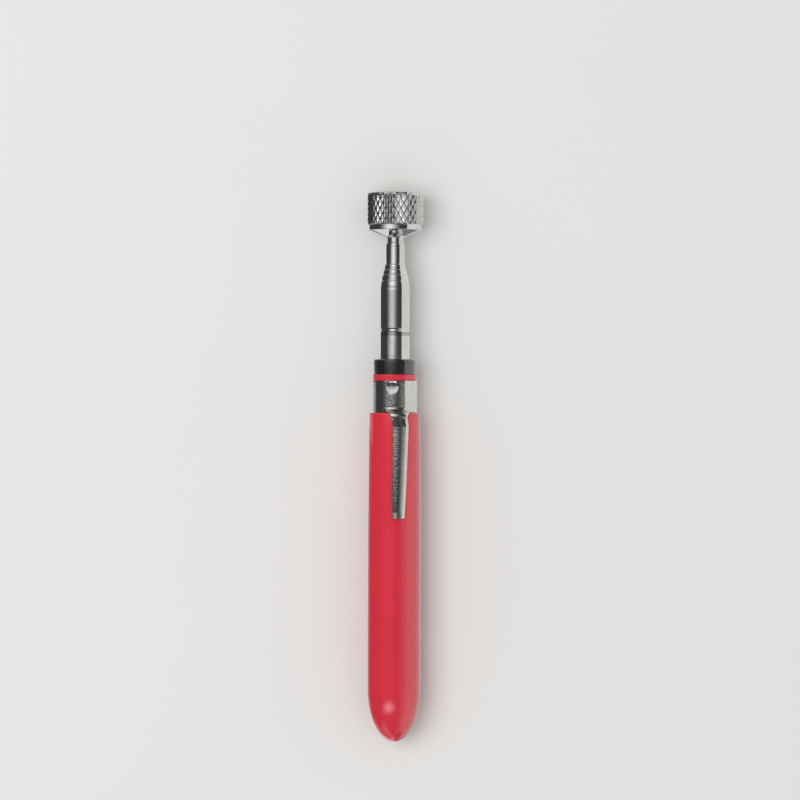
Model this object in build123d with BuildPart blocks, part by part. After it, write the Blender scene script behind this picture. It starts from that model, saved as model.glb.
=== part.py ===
"""Telescoping magnetic pickup tool, closed, lying on its side with the magnet towards +X.

The origin is on the bench, under the middle of the tool's length. A station is a distance along the
tool's axis from the rounded end of the handle, so the magnet's rim is at station overall_length. Every
turned or drawn piece is a profile of (station, radius) points, revolved about the tool's axis.
"""

import os
from math import cos, radians, sin

from build123d import *

os.makedirs("parts", exist_ok=True)

# Whole tool (mm)
overall_length = 155.0
cup_radius = 7.95

# Telescoping tubes, numbered from the outermost. Each one is a radius step smaller than the last
tube_count = 6
tube_1_radius = 4.10
radius_step = 0.375
tube_wall = 0.22
running_clearance = 0.03
end_gap = 0.30
taper_length = 0.30
tube_1_foot = 9.0
tube_1_mouth = 130.15
mouth_gaps = [1.80, 1.40, 1.55, 6.10]
nose_length = 1.2
outer_nose_length = 2.4
lip_length = 0.9
crimp_below_mouth = 14.4
crimp_half_width = 0.4
crimp_depth = 0.12

# Friction shoes: two spring half shells in a necked seat at the foot of each sliding tube
shoe_thickness = 0.22
shoe_length = 3.5
shoe_arc = 172
shoe_lead_length = 0.40
shoe_lead_height = 0.08
flare_length = 0.8
flare_height = 0.10
seat_shoulder = 0.4

# Plug that closes the foot of the outer tube
plug_spigot_length = 3.5
plug_head = 0.8
plug_chamfer = 0.4

# Handle grip
grip_radius = 7.45
grip_shoulder_radius = 7.20
grip_end_length = 15.0
barrel_top = 60.0
shoulder_station = 92.9
grip_neck_radius = 5.85
lip_station = 102.0
lip_radius = 6.20
grip_top = 103.7
shoulder_fillet = 0.50
grip_top_fillet = 0.35
lip_fillet = 0.15

# Collar bush at the mouth of the grip
collar_radius = 5.95
collar_top = 108.0
spigot_radius = 4.90
spigot_foot = 94.0
collar_fillet = 0.45

# Pocket clip: a ring round the grip's neck, with a tongue that steps out over the shoulder to the arm.
# The step and the arm are bent sheets swept round the axis, and an outline seen from above trims both
clip_angle = 9.5
clip_metal = 0.38
sweep_angle = 42
sheet_overrun = 1.0
ring_foot = 93.05
ring_top = 101.9
ring_fit = 0.02
step_top = 94.1
step_foot = 92.5
step_fillets = [0.45, 0.35]
tongue_overlap = 0.8
hinge_station = 91.9
arm_height = 7.85
arm_rise = 0.25
arm_rise_station = 88.0
dip_start = 67.5
dip_station = 64.9
dip_depth = 0.33
arm_fillets = [4.0, 2.0, 0.8]
arm_tip = 63.2
flare_half_width = 3.8
flare_fillet = 1.6
tip_half_width = 1.65
hinge_gap = 0.05

# Magnet head
knurl_foot = 146.0
band_radius = 7.35
band_foot = 144.5
hub_station = 142.8
hub_radius = 3.0
hub_bevel = 0.3
socket_foot = 142.4
socket_top = 146.4
pocket_floor = 148.2
pocket_radius = 6.40
magnet_radius = 5.20
magnet_face = 154.8
spacer_recess = 0.3
rim_chamfer = 0.4
knurl_chamfer = 0.3
pocket_chamfer = 0.2
magnet_chamfer = 0.2
tip_plug_foot = 140.4
screw_radius = 1.0
screw_head_radius = 1.9
screw_hole_foot = 143.0
screw_end_gap = 0.2
screw_point = 0.3
screw_recess = 0.05
drive_radius = 0.65
drive_depth = 0.7

# How closely an edge must match a wanted station and radius
edge_tolerance = 0.001

# Positions worked out from the driving dimensions
tool_end = (-overall_length / 2, 0, cup_radius)
tool_axis = Axis(tool_end, (1, 0, 0))
screw_foot = screw_hole_foot + screw_end_gap
screw_top = pocket_floor - screw_recess
countersink_foot = pocket_floor - screw_head_radius + screw_radius
spacer_top = magnet_face - spacer_recess
root_half_width = flare_half_width - flare_fillet


def radial_plane(angle):
    """Plane through the tool's axis, turned by angle from straight up towards -Y.
    Its x is the station and its y is the distance from the axis."""
    turn = radians(angle)
    return Plane(origin=tool_end, x_dir=(1, 0, 0), z_dir=(0, -cos(turn), -sin(turn)))


side = radial_plane(0)


def tube_radius(number):
    return tube_1_radius - (number - 1) * radius_step


def tube_mouth(number):
    """Station of a tube's mouth; the innermost tube ends in the head's socket."""
    if number == tube_count:
        return socket_top
    return tube_1_mouth + sum(mouth_gaps[: number - 1])


def tube_foot(number):
    """Station of a tube's foot. Each sliding tube stops just above the neck of the one outside it."""
    if number == 1:
        return tube_1_foot
    first_foot = tube_1_foot + plug_spigot_length + end_gap
    neck_to_neck = flare_length + shoe_length + seat_shoulder + end_gap
    return first_foot + (number - 2) * neck_to_neck


def shoe_foot(number):
    return tube_foot(number) + flare_length


def shoe_radius(number):
    return tube_radius(number - 1) - tube_wall - running_clearance


def slide_travel(number):
    """How far a tube slides out before its shoes meet the crimp inside the tube outside it."""
    crimp_foot = tube_mouth(number - 1) - crimp_below_mouth - crimp_half_width
    return crimp_foot - end_gap - shoe_foot(number) - shoe_length


def circles(builder, station, radius):
    """The circular edges of a turned piece at one station and radius."""
    x = tool_end[0] + station
    edges = builder.edges().filter_by(GeomType.CIRCLE)
    edges = edges.filter_by(lambda edge: abs(edge.arc_center.X - x) < edge_tolerance)
    return edges.filter_by(lambda edge: abs(edge.radius - radius) < edge_tolerance)


# ---------------------------------------------------------------- telescoping tubes and their shoes

for number in range(1, tube_count + 1):
    radius = tube_radius(number)
    bore = radius - tube_wall
    foot = tube_foot(number)
    mouth = tube_mouth(number)
    with BuildPart() as tube:
        with BuildSketch(side):
            with BuildLine():
                # foot: plain on the outer tube, flared and necked for the shoes on the others
                if number == 1:
                    Line((foot, bore), (foot, radius))
                    outer_start, inner_end = (foot, radius), (foot, bore)
                else:
                    flare_radius = radius + flare_height
                    seat_radius = shoe_radius(number) - shoe_thickness
                    seat_top = shoe_foot(number) + shoe_length
                    outer_start = (seat_top + seat_shoulder, radius)
                    inner_end = (seat_top + seat_shoulder, bore)
                    Polyline(
                        inner_end,
                        (seat_top, seat_radius - tube_wall),
                        (shoe_foot(number), seat_radius - tube_wall),
                        (shoe_foot(number) - taper_length, flare_radius - tube_wall),
                        (foot, flare_radius - tube_wall),
                        (foot, flare_radius),
                        (shoe_foot(number), flare_radius),
                        (shoe_foot(number), seat_radius),
                        (seat_top, seat_radius),
                        outer_start,
                    )
                # mouth: rolled in to guide the next tube, with a stop crimp below it
                if number == tube_count:
                    Polyline(outer_start, (mouth, radius), (mouth, bore), inner_end)
                else:
                    guide = tube_radius(number + 1) + running_clearance
                    nose = outer_nose_length if number == 1 else nose_length
                    crimp = mouth - crimp_below_mouth
                    crimp_foot = crimp - crimp_half_width
                    crimp_top = crimp + crimp_half_width
                    Line(outer_start, (crimp_foot, radius))
                    ThreePointArc((crimp_foot, radius), (crimp, radius - crimp_depth), (crimp_top, radius))
                    Line((crimp_top, radius), (mouth - nose, radius))
                    EllipticalCenterArc((mouth - nose, guide), nose, radius - guide, arc_size=90)
                    Polyline(
                        (mouth, guide),
                        (mouth - lip_length, guide),
                        (mouth - lip_length - taper_length, bore),
                        (crimp_top, bore),
                    )
                    ThreePointArc((crimp_top, bore), (crimp, bore - crimp_depth), (crimp_foot, bore))
                    Line((crimp_foot, bore), inner_end)
            make_face()
        revolve(axis=tool_axis)
    tube.part.label = f"tube_{number}"
    export_step(tube.part, f"parts/{tube.part.label}.step")

for number in range(2, tube_count + 1):
    shoe_outer = shoe_radius(number)
    shoe_inner = shoe_outer - shoe_thickness
    start = shoe_foot(number)
    for half, first_angle in (("front", 90 - shoe_arc / 2), ("back", 270 - shoe_arc / 2)):
        with BuildPart() as shoe:
            with BuildSketch(radial_plane(first_angle)):
                with BuildLine():
                    Polyline(
                        (start, shoe_inner),
                        (start, shoe_outer - shoe_lead_height),
                        (start + shoe_lead_length, shoe_outer),
                        (start + shoe_length - shoe_lead_length, shoe_outer),
                        (start + shoe_length, shoe_outer - shoe_lead_height),
                        (start + shoe_length, shoe_inner),
                        close=True,
                    )
                make_face()
            revolve(axis=tool_axis, revolution_arc=shoe_arc)
        shoe.part.label = f"friction_shoe_{number}_{half}"
        export_step(shoe.part, f"parts/{shoe.part.label}.step")

# ---------------------------------------------------------------- handle

with BuildPart() as tube_end_plug:
    with BuildSketch(side):
        with BuildLine():
            Polyline(
                (tube_1_foot - plug_head, 0),
                (tube_1_foot - plug_head, tube_1_radius),
                (tube_1_foot, tube_1_radius),
                (tube_1_foot, tube_1_radius - tube_wall),
                (tube_1_foot + plug_spigot_length, tube_1_radius - tube_wall),
                (tube_1_foot + plug_spigot_length, 0),
                close=True,
            )
        make_face()
    revolve(axis=tool_axis)
    spigot_end = circles(tube_end_plug, tube_1_foot + plug_spigot_length, tube_1_radius - tube_wall)
    chamfer(spigot_end, plug_chamfer)
tube_end_plug.part.label = "tube_end_plug"
export_step(tube_end_plug.part, "parts/tube_end_plug.step")

with BuildPart() as handle_grip:
    with BuildSketch(side):
        with BuildLine():
            EllipticalCenterArc((grip_end_length, 0), grip_end_length, grip_radius, 90, arc_size=90)
            Polyline(
                (grip_end_length, grip_radius),
                (barrel_top, grip_radius),
                (shoulder_station, grip_shoulder_radius),
                (shoulder_station, grip_neck_radius),
                (lip_station, grip_neck_radius),
                (lip_station, lip_radius),
                (grip_top, lip_radius),
                (grip_top, spigot_radius),
                (spigot_foot, spigot_radius),
                (spigot_foot, tube_1_radius),
                (tube_1_foot - plug_head, tube_1_radius),
                (tube_1_foot - plug_head, 0),
                (0, 0),
            )
        make_face()
    revolve(axis=tool_axis)
    fillet(circles(handle_grip, shoulder_station, grip_shoulder_radius), shoulder_fillet)
    fillet(circles(handle_grip, grip_top, lip_radius), grip_top_fillet)
    fillet(circles(handle_grip, lip_station, lip_radius), lip_fillet)
handle_grip.part.label = "handle_grip"
export_step(handle_grip.part, "parts/handle_grip.step")

with BuildPart() as collar_bush:
    with BuildSketch(side):
        with BuildLine():
            Polyline(
                (spigot_foot, tube_1_radius),
                (spigot_foot, spigot_radius),
                (grip_top, spigot_radius),
                (grip_top, collar_radius),
                (collar_top, collar_radius),
                (collar_top, tube_1_radius),
                close=True,
            )
        make_face()
    revolve(axis=tool_axis)
    fillet(circles(collar_bush, collar_top, collar_radius), collar_fillet)
collar_bush.part.label = "collar_bush"
export_step(collar_bush.part, "parts/collar_bush.step")

# ---------------------------------------------------------------- pocket clip

clip_sweep_start = radial_plane(clip_angle - sweep_angle)
clip_top_plane = Plane(
    origin=tool_end,
    x_dir=(1, 0, 0),
    z_dir=(0, -sin(radians(clip_angle)), cos(radians(clip_angle))),
)
metal_radius = grip_neck_radius + ring_fit + clip_metal / 2
fillet_foot = ring_foot - flare_fillet

# the clip's outline from straight above the arm: a tapering strip that widens into the ring through a
# fillet on each side
with BuildSketch(clip_top_plane) as clip_outline:
    with BuildLine():
        Polyline((arm_tip, 0), (arm_tip, tip_half_width), (fillet_foot, root_half_width))
        CenterArc((fillet_foot, flare_half_width), flare_fillet, 270, 90)
        Polyline(
            (ring_foot, flare_half_width),
            (step_top + tongue_overlap, flare_half_width),
            (step_top + tongue_overlap, 0),
            (arm_tip, 0),
        )
    make_face()
    mirror(about=Plane.XZ)

with BuildPart() as clip_band:
    with BuildSketch(clip_sweep_start):
        with BuildLine():
            FilletPolyline(
                (step_top + tongue_overlap + sheet_overrun, metal_radius),
                (step_top, metal_radius),
                (step_foot, arm_height),
                (hinge_station + clip_metal / 2 + hinge_gap, arm_height),
                radius=step_fillets,
            )
        trace(line_width=clip_metal)
    revolve(axis=tool_axis, revolution_arc=2 * sweep_angle)
    extrude(clip_outline.sketch, 2 * cup_radius, clip_top_plane.z_dir, mode=Mode.INTERSECT)
    with BuildSketch(side):
        with BuildLine():
            Polyline(
                (ring_foot, metal_radius - clip_metal / 2),
                (ring_foot, metal_radius + clip_metal / 2),
                (ring_top, metal_radius + clip_metal / 2),
                (ring_top, metal_radius - clip_metal / 2),
                close=True,
            )
        make_face()
    revolve(axis=tool_axis)
clip_band.part.label = "clip_band"
export_step(clip_band.part, "parts/clip_band.step")

with BuildPart() as clip_arm:
    with BuildSketch(clip_sweep_start):
        with BuildLine():
            FilletPolyline(
                (hinge_station, arm_height),
                (arm_rise_station, arm_height + arm_rise),
                (dip_start, arm_height + arm_rise),
                (dip_station, arm_height + arm_rise - dip_depth),
                (arm_tip - sheet_overrun, arm_height + arm_rise),
                radius=arm_fillets,
            )
        trace(line_width=clip_metal)
        with Locations((hinge_station, arm_height)):
            Circle(clip_metal / 2)
    revolve(axis=tool_axis, revolution_arc=2 * sweep_angle)
    extrude(clip_outline.sketch, 2 * cup_radius, clip_top_plane.z_dir, mode=Mode.INTERSECT)
clip_arm.part.label = "clip_arm"
export_step(clip_arm.part, "parts/clip_arm.step")

# ---------------------------------------------------------------- magnet head

with BuildPart() as magnet_cup:
    with BuildSketch(side):
        with BuildLine():
            Polyline(
                (socket_foot, tube_radius(tube_count)),
                (socket_foot, hub_radius - hub_bevel),
                (hub_station, hub_radius),
                (band_foot, band_radius),
                (knurl_foot, band_radius),
                (knurl_foot, cup_radius),
                (overall_length, cup_radius),
                (overall_length, pocket_radius),
                (pocket_floor, pocket_radius),
                (pocket_floor, screw_head_radius),
                (countersink_foot, screw_radius),
                (socket_top, screw_radius),
                (socket_top, tube_radius(tube_count)),
                close=True,
            )
        make_face()
    revolve(axis=tool_axis)
    chamfer(circles(magnet_cup, overall_length, cup_radius), rim_chamfer)
    chamfer(circles(magnet_cup, knurl_foot, cup_radius), knurl_chamfer)
    chamfer(circles(magnet_cup, overall_length, pocket_radius), pocket_chamfer)
magnet_cup.part.label = "magnet_cup"
export_step(magnet_cup.part, "parts/magnet_cup.step")

with BuildPart() as magnet:
    with BuildSketch(side):
        with BuildLine():
            Polyline(
                (pocket_floor, 0),
                (pocket_floor, magnet_radius),
                (magnet_face, magnet_radius),
                (magnet_face, 0),
                close=True,
            )
        make_face()
    revolve(axis=tool_axis)
    chamfer(circles(magnet, magnet_face, magnet_radius), magnet_chamfer)
magnet.part.label = "magnet"
export_step(magnet.part, "parts/magnet.step")

with BuildPart() as magnet_spacer:
    with BuildSketch(side):
        with BuildLine():
            Polyline(
                (pocket_floor, magnet_radius),
                (pocket_floor, pocket_radius),
                (spacer_top, pocket_radius),
                (spacer_top, magnet_radius),
                close=True,
            )
        make_face()
    revolve(axis=tool_axis)
magnet_spacer.part.label = "magnet_spacer"
export_step(magnet_spacer.part, "parts/magnet_spacer.step")

with BuildPart() as tip_plug:
    with BuildSketch(side):
        with BuildLine():
            Polyline(
                (tip_plug_foot, 0),
                (tip_plug_foot, tube_radius(tube_count) - tube_wall),
                (socket_top, tube_radius(tube_count) - tube_wall),
                (socket_top, screw_radius),
                (screw_hole_foot, screw_radius),
                (screw_hole_foot, 0),
                close=True,
            )
        make_face()
    revolve(axis=tool_axis)
tip_plug.part.label = "tip_plug"
export_step(tip_plug.part, "parts/tip_plug.step")

with BuildPart() as head_screw:
    with BuildSketch(side):
        with BuildLine():
            Polyline(
                (screw_foot, 0),
                (screw_foot, screw_radius - screw_point),
                (screw_foot + screw_point, screw_radius),
                (countersink_foot, screw_radius),
                (screw_top, screw_head_radius - screw_recess),
                (screw_top, 0),
                close=True,
            )
        make_face()
    revolve(axis=tool_axis)
    with BuildSketch(Plane(origin=(tool_end[0] + screw_top, 0, cup_radius), z_dir=(-1, 0, 0))):
        RegularPolygon(drive_radius, 6)
    extrude(amount=drive_depth, mode=Mode.SUBTRACT)
head_screw.part.label = "head_screw"
export_step(head_screw.part, "parts/head_screw.step")

# ---------------------------------------------------------------- travel of the slides
total_travel = 0
for number in range(2, tube_count + 1):
    total_travel += slide_travel(number)
    print(f"tube_{number} slides {slide_travel(number):.2f} mm")
print(f"closed {overall_length:.1f} mm, open {overall_length + total_travel:.1f} mm")
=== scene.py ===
"""Telescoping magnetic pickup tool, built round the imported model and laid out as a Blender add-on.

The tool lies on the floor with its magnet towards +X. A station is a distance along the tool's axis from the
rounded end of the grip. A turn is an angle round that axis, from straight up towards -Y. Lengths are metres.
"""

from math import pi, radians, sin, cos

import bpy
import numpy as np
from bpy.props import FloatProperty, FloatVectorProperty, IntProperty, PointerProperty
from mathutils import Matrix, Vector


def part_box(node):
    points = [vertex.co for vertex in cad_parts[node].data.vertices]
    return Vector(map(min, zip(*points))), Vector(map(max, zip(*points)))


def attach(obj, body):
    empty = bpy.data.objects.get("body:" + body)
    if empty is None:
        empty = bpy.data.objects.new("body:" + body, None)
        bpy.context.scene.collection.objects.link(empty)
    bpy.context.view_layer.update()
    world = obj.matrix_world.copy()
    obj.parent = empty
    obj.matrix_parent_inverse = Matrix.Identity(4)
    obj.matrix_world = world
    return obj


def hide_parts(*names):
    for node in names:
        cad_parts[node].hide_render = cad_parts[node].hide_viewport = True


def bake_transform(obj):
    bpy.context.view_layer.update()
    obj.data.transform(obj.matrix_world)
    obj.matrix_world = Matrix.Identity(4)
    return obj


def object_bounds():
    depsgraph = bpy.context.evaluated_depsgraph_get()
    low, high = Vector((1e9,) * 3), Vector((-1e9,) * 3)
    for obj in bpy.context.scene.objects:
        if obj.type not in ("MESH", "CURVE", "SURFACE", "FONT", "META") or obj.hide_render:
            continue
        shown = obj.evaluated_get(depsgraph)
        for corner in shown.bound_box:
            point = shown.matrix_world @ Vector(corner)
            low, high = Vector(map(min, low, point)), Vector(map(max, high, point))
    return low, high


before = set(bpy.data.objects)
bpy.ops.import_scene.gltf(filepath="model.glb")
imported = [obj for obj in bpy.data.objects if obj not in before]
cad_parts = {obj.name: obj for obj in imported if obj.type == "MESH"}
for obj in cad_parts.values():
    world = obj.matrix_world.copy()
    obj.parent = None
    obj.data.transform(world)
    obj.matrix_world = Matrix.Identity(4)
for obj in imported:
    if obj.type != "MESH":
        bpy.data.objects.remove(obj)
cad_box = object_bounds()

bl_info = {
    "name": "Magnetic pickup tool",
    "version": (1, 0, 0),
    "blender": (4, 5, 0),
    "location": "3D View > Sidebar > Pickup Tool",
    "description": "Builds a telescoping magnetic pickup tool with its chrome, plastic and brass finishes",
    "category": "Add Mesh",
}

MM = 0.001
TUBES = 6
TUBE_COLUMNS = 120
GRIP_COLUMNS = 192
COLUMNS_PER_GROOVE = 20
ROWS_PER_DIAMOND = 20
TOOL_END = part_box("handle_grip")[0].x
AXIS_Z = (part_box("magnet_cup")[0].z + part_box("magnet_cup")[1].z) / 2


# ---- sizes and colours a user may change


def length(name, description, millimetres):
    """A length property whose default is given in millimetres."""
    metres = millimetres * MM
    return FloatProperty(name=name, description=description, default=metres, precision=5, unit="LENGTH")


def angle(name, description, degrees):
    """An angle property whose default is given in degrees."""
    return FloatProperty(name=name, description=description, default=radians(degrees), subtype="ANGLE")


def colour(name, description, rgb):
    """A colour property."""
    return FloatVectorProperty(
        name=name, description=description, default=rgb, size=3, subtype="COLOR", min=0, max=1
    )


class PickupTubeSizes(bpy.types.PropertyGroup):
    """Sizes of the six nested tubes"""

    wall: length("Wall", "Thickness of every tube's wall", 0.22)
    clearance: length("Clearance", "Gap between a tube and the rolled mouth that guides it", 0.03)
    nose: length("Nose", "Length of the rolled nose of the sliding tubes", 1.3)
    outer_nose: length("Outer nose", "Length of the longer rolled nose of the outermost tube", 2.4)
    lip: length("Lip", "Depth of the guide inside each rolled mouth", 0.9)
    crimp_below: length("Crimp place", "Distance from a tube's mouth down to its stop crimp", 14.4)
    crimp_width: length("Crimp half width", "Half the width of the stop crimp", 0.95)
    crimp_depth: length("Crimp depth", "Depth of the stop crimp", 0.12)
    flare: length("Foot flare", "How far a sliding tube's foot stands out past its wall", 0.10)
    flare_length: length("Flare length", "Length of the flared foot", 0.8)
    shoe_length: length("Shoe seat", "Length of the necked seat that holds the friction shoes", 3.5)
    shoe_metal: length("Shoe metal", "Thickness of the friction shoes", 0.22)


class PickupGripSizes(bpy.types.PropertyGroup):
    """Sizes of the grip and its collar"""

    end_length: length("Rounded end", "Length of the rounded end", 15.0)
    barrel_top: length("Barrel top", "Station where the barrel starts to taper", 60.0)
    shoulder: length("Shoulder", "Station of the shoulder above the barrel", 92.9)
    shoulder_radius: length("Shoulder radius", "Radius of the barrel at its shoulder", 7.20)
    neck_radius: length("Neck radius", "Radius of the neck under the clip's ring", 5.85)
    lip_foot: length("Lip foot", "Station where the lip above the ring starts", 102.0)
    lip_radius: length("Lip radius", "Radius of the lip", 6.20)
    spigot_radius: length("Spigot radius", "Radius of the collar's spigot inside the grip", 4.90)


class PickupClipSizes(bpy.types.PropertyGroup):
    """Sizes of the pocket clip"""

    turn: angle("Turn", "How far the clip is turned from straight up", 9.5)
    metal: length("Metal", "Thickness of the spring steel", 0.38)
    ring_foot: length("Ring foot", "Station of the ring's lower edge", 93.05)
    step_top: length("Step top", "Station of the bend where the tongue starts to lift", 93.45)
    step_foot: length("Step foot", "Station of the bend where the tongue reaches the arm", 92.90)
    root_height: length("Root height", "Height of the arm's middle line above the axis at its root", 8.04)
    arm_height: length("Arm height", "Height of the arm's middle line along its length", 8.08)
    dip: length("Dip", "How far the arm dips towards the grip near its tip", 0.03)
    tongue_half: length("Tongue half width", "Half width of the tongue where it leaves the ring", 3.9)
    root_half: length("Root half width", "Half width of the arm at its root", 2.18)
    tip_half: length("Tip half width", "Half width of the arm at its tip", 1.60)
    shift: length("Shift", "How far the arm's middle is off the tongue's at its root", 0.45)
    lean: length("Lean", "How far the arm's middle leans back over its length", 0.65)
    root_crown: length("Root crown", "Radius of the arm's crowned section at its root", 4.9)
    tip_crown: length("Tip crown", "Radius of the arm's crowned section at its tip", 2.9)
    dimple_station: length("Dimple place", "Station of the dimple that keys the ring to the neck", 100.3)
    dimple_turn: angle("Dimple turn", "Where the dimple is round the ring", -6.0)
    dimple_half: length("Dimple half length", "Half the length of the dimple along the tool", 2.1)
    dimple_depth: length("Dimple depth", "Depth of the dimple", 0.22)


class PickupHeadSizes(bpy.types.PropertyGroup):
    """Sizes of the knurled magnet head"""

    knurl_starts: IntProperty(
        name="Knurl starts", description="Number of grooves of each hand", default=30, min=8
    )
    knurl_height: length("Diamond height", "Length of one knurl diamond along the axis", 2.95)
    knurl_depth: length("Knurl depth", "Depth of the knurl's grooves", 0.38)
    knurl_fade: length("Knurl fade", "Length over which the grooves run out at the magnet's end", 1.1)
    knurl_flat: FloatProperty(
        name="Crest flat", description="Share of each crest left flat", default=0.03, min=0, max=0.9
    )
    knurl_foot: length("Knurl foot", "Station of the knurl's lower edge", 146.0)
    rim_round: length("Rim rounding", "Radius of the rounded outer edge at the magnet's end", 0.6)
    band_radius: length("Band radius", "Radius of the smooth band under the knurl", 7.35)
    band_foot: length("Band foot", "Station of the band's lower edge", 144.5)
    hub: length("Hub", "Station where the cone meets the hub", 142.8)
    hub_radius: length("Hub radius", "Radius of the hub", 3.0)
    socket_top: length("Socket top", "Station of the end of the tube's socket", 146.4)
    screw_radius: length("Screw radius", "Radius of the screw's hole", 1.0)
    screw_head: length("Screw head", "Radius of the screw's countersink", 1.9)


class PickupColours(bpy.types.PropertyGroup):
    """Colours of the finishes"""

    grip: colour("Grip", "Moulded red plastic", (0.71, 0.013, 0.038))
    collar: colour("Collar", "Gloss black plastic", (0.012, 0.010, 0.011))
    tube: colour("Tubes", "Bright plate on the tubes", (0.74, 0.74, 0.725))
    clip: colour("Clip", "Bright plate on spring steel", (0.72, 0.71, 0.69))
    head: colour("Head", "Bright plate on the knurled cup", (0.74, 0.74, 0.74))
    magnet: colour("Magnet", "Nickel plated magnet", (0.62, 0.61, 0.58))
    brass: colour("Brass", "Turned brass", (0.78, 0.58, 0.28))
    bronze: colour("Bronze", "Phosphor bronze strip", (0.72, 0.44, 0.25))
    steel: colour("Steel", "Plain steel screw", (0.50, 0.50, 0.50))
    floor: colour("Floor", "Pale floor", (0.80, 0.80, 0.79))


# ---- shapes


def stations_of(node):
    """Stations of the two ends of a CAD node."""
    low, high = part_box(node)
    return low.x - TOOL_END, high.x - TOOL_END


def radius_of(node):
    """Largest radius of a turned CAD node."""
    low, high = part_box(node)
    return (high.y - low.y) / 2


def on_tool(station, radius, turn):
    """x = tool's end + station, y = -radius sin(turn), z = axis height + radius cos(turn)."""
    return np.stack([TOOL_END + station, -radius * np.sin(turn), AXIS_Z + radius * np.cos(turn)], axis=-1)


def faces_of(*corners):
    """One face for each place in the arrays of corner numbers, as lists of vertex numbers."""
    return np.stack(corners, axis=-1).reshape(-1, len(corners)).tolist()


def mesh_piece(name, points, faces, material, sharp=None):
    """A smooth-shaded piece from an array of points and a list of faces. Edges that turn by more than
    sharp are creased."""
    mesh = bpy.data.meshes.new(name)
    mesh.from_pydata(points.reshape(-1, 3).tolist(), [], faces)
    mesh.polygons.foreach_set("use_smooth", np.ones(len(mesh.polygons), bool))
    if sharp is not None:
        mesh.set_sharp_from_angle(angle=sharp)
    mesh.update()
    mesh.materials.append(material)
    piece = bpy.data.objects.new(name, mesh)
    bpy.context.scene.collection.objects.link(piece)
    return piece


def rounded(*corners, closed=True, steps=6, support=0.06 * MM):
    """Outline through (station, radius, fillet) corners. Each corner becomes an arc tangent to both of its
    sides: its centre lies on the corner's bisector, and its points turn evenly from one tangent point to
    the other. A support point follows and precedes each arc, so that the straight between two arcs stays
    straight in shading."""
    corners = np.array(corners, float)
    place, fillet = corners[:, :2], corners[:, 2].copy()
    if not closed:
        fillet[[0, -1]] = 0
    back, ahead = np.roll(place, 1, 0) - place, np.roll(place, -1, 0) - place
    back_length, ahead_length = np.linalg.norm(back, axis=1), np.linalg.norm(ahead, axis=1)
    back, ahead = back / back_length[:, None], ahead / ahead_length[:, None]
    half = np.arccos(np.clip((back * ahead).sum(1), -1, 1)) / 2
    reach = np.minimum(fillet / np.tan(half), 0.48 * np.minimum(back_length, ahead_length))[:, None]
    bisector = back + ahead
    bisector /= np.maximum(np.linalg.norm(bisector, axis=1), 1e-9)[:, None]
    centre = place + bisector * reach / np.maximum(np.cos(half), 1e-6)[:, None]
    first, last = place + back * reach - centre, place + ahead * reach - centre
    sweep = np.maximum(pi - 2 * half, 1e-6)[:, None, None]
    share = np.linspace(0, 1, steps)[None, :, None]
    arc = np.sin((1 - share) * sweep) * first[:, None] + np.sin(share * sweep) * last[:, None]
    arc = centre[:, None] + arc / np.sin(sweep)
    run = np.roll(arc[:, 0], -1, 0) - arc[:, -1]
    run_length = np.maximum(np.linalg.norm(run, axis=1), 1e-12)[:, None]
    inset = run / run_length * np.minimum(support, run_length / 3)
    after, before = arc[:, -1] + inset, arc[:, -1] + run - inset
    outline = np.concatenate([arc, after[:, None], before[:, None]], axis=1).reshape(-1, 2)
    if not closed:
        outline = outline[:-2]
    apart = np.linalg.norm(outline - np.roll(outline, 1, 0), axis=1) > 1e-8
    if not closed:
        apart[0] = True
    return outline[apart]


def turned(name, outline, material, columns=128, closed=True, cut=None, sharp=radians(45)):
    """A turned piece: the outline of (station, radius) points is carried once round the axis, so a point
    is on_tool(station, radius, turn) with turn from 0 to a full turn. An outline that isn't closed starts
    and ends on the axis, where each end is one point. cut(station, turn, radius) may lower the radius. The
    outline's outer side runs towards the magnet, which makes the faces point outwards."""
    turn = np.arange(columns) * 2 * pi / columns
    rows = outline if closed else outline[1:-1]
    station, turn = np.meshgrid(rows[:, 0], turn, indexing="ij")
    radius = np.repeat(rows[:, 1:2], columns, axis=1)
    if cut is not None:
        radius = cut(station, turn, radius)
    points = on_tool(station, radius, turn).reshape(-1, 3)
    index = np.arange(len(points)).reshape(-1, columns)
    along = index if closed else index[:-1]
    ahead = np.roll(index, -1, 0) if closed else index[1:]
    faces = faces_of(along, np.roll(along, -1, 1), np.roll(ahead, -1, 1), ahead)
    if not closed:
        poles = on_tool(outline[[0, -1], 0], outline[[0, -1], 1] * 0, np.zeros(2))
        start, end = len(points), len(points) + 1
        points = np.vstack([points, poles])
        first, last = index[0], index[-1]
        faces += faces_of(np.full(columns, start), np.roll(first, -1), first)
        faces += faces_of(last, np.roll(last, -1), np.full(columns, end))
    return mesh_piece(name, points, faces, material, sharp)


def need(*nodes):
    """Stops an operator whose CAD nodes aren't in the frame."""
    missing = [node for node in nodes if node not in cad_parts]
    if missing:
        raise RuntimeError(f"the frame has no node {missing}")


def finish_piece(piece, body, slot, *nodes):
    """The piece rides on its body and stands for its CAD nodes. slot is not used."""
    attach(piece, body)
    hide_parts(*nodes)


# ---- shader building blocks


def wire(tree, socket, value):
    """Links value to a socket if it is an output, and otherwise sets it."""
    if isinstance(value, bpy.types.NodeSocket):
        tree.links.new(value, socket)
    else:
        socket.default_value = value


def put(tree, kind, inputs=(), **settings):
    """Adds a shader node. settings are its own properties, and inputs maps a socket's name or number to a
    value."""
    made = tree.nodes.new("ShaderNode" + kind)
    for key, value in settings.items():
        setattr(made, key, value)
    for socket, value in dict(inputs).items():
        wire(tree, made.inputs[socket], value)
    return made


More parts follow.
